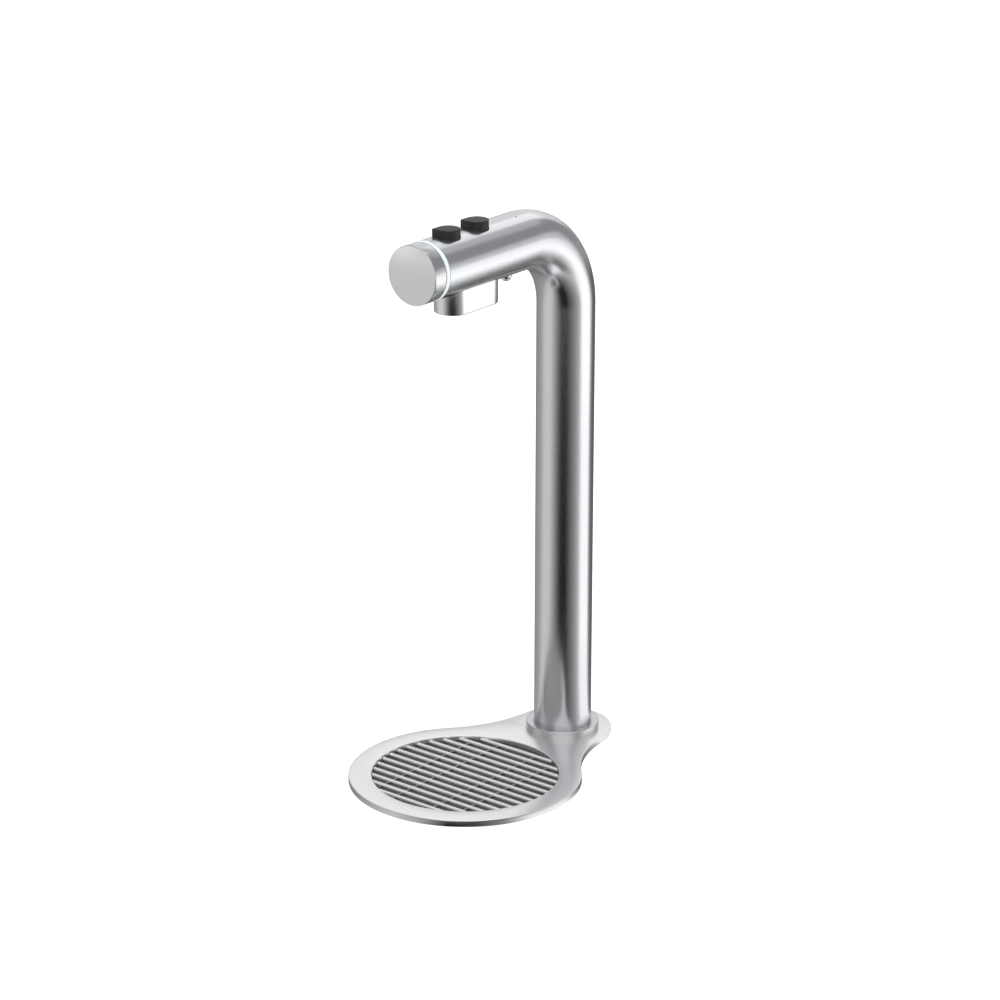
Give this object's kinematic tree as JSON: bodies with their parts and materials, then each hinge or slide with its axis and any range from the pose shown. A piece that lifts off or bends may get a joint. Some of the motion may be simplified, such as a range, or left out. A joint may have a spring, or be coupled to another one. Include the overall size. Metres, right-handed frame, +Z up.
{
  "type": "hot and cold water dispenser tap",
  "caption": "Worktop swan-neck water tap tower with droplet push buttons, a light ring at the arm's end, an outlet block and a base plate with a lift-out drip grille over a shallow dish.",
  "frame": {"origin": "on the column's axis at the worktop plane, the centre of the tapped holes under the foot", "axes": "+Z up the column, -Y along the arm towards the outlet and the tray, +X to the right seen from the front"},
  "size_m": [0.199, 0.277, 0.49],
  "materials": {
    "satin_steel": "satin brushed stainless tube",
    "cap_steel": "fine satin stainless",
    "plate_steel": "fine satin stainless plate",
    "bar_steel": "polished stainless wire",
    "polished_steel": "polished",
    "turned_steel": "turned",
    "button_black": "matte black moulded",
    "black_plastic": "black moulded",
    "dish_black": "black coated sheet",
    "pale_plastic": "natural nylon",
    "lens_plastic": "clear light pipe",
    "ring_plastic": "translucent white, lit from behind",
    "hot_plastic": "moulded",
    "cold_plastic": "moulded",
    "hot_hose_rubber": "silicone",
    "board_green": "solder mask",
    "seal_rubber": "matte"
  },
  "bodies": {
    "tower": {"base_plate": "plate_steel", "drip_dish": "dish_black", "dish_gasket": "seal_rubber", "foot_seal": "seal_rubber", "foot_collar": "plate_steel", "foot_insert": "turned_steel", "set_screws": "turned_steel", "hot_union": "hot_plastic", "cold_union": "cold_plastic", "supply_socket": "black_plastic", "swan_neck": "satin_steel", "status_lens": "lens_plastic", "hot_hose": "hot_hose_rubber", "cold_hose": "cold_plastic", "wiring_loom": "seal_rubber", "loom_plug": "pale_plastic", "outlet_manifold": "pale_plastic", "outlet_block": "polished_steel", "block_screw": "turned_steel", "hot_nozzle": "polished_steel", "cold_nozzle": "polished_steel", "nozzle_seals": "seal_rubber", "clamp_screw": "polished_steel", "button_carrier": "black_plastic", "front_spring": "turned_steel", "rear_spring": "turned_steel", "switch_board": "board_green", "front_switch": "black_plastic", "rear_switch": "black_plastic", "board_screws": "turned_steel", "light_board": "pale_plastic", "cap_plug": "black_plastic", "light_ring": "ring_plastic", "end_cap": "cap_steel"},
    "front_button": {"front_button": "button_black"},
    "rear_button": {"rear_button": "button_black"},
    "grille": {"drip_grille": "bar_steel"}
  },
  "joints": [
    {"name": "front_button_press", "type": "slide", "parent": "tower", "child": "front_button", "axis": [0, 0, -1], "range_m": [0, 0.0015], "stiffness_N_per_m": 400, "springref_m": -0.004, "deforming": ["front_spring"]},
    {"name": "rear_button_press", "type": "slide", "parent": "tower", "child": "rear_button", "axis": [0, 0, -1], "range_m": [0, 0.0015], "stiffness_N_per_m": 400, "springref_m": -0.004, "deforming": ["rear_spring"]},
    {"name": "grille_lift", "type": "slide", "parent": "tower", "child": "grille", "axis": [0, 0, 1], "range_m": [0, 0.06]}
  ]
}
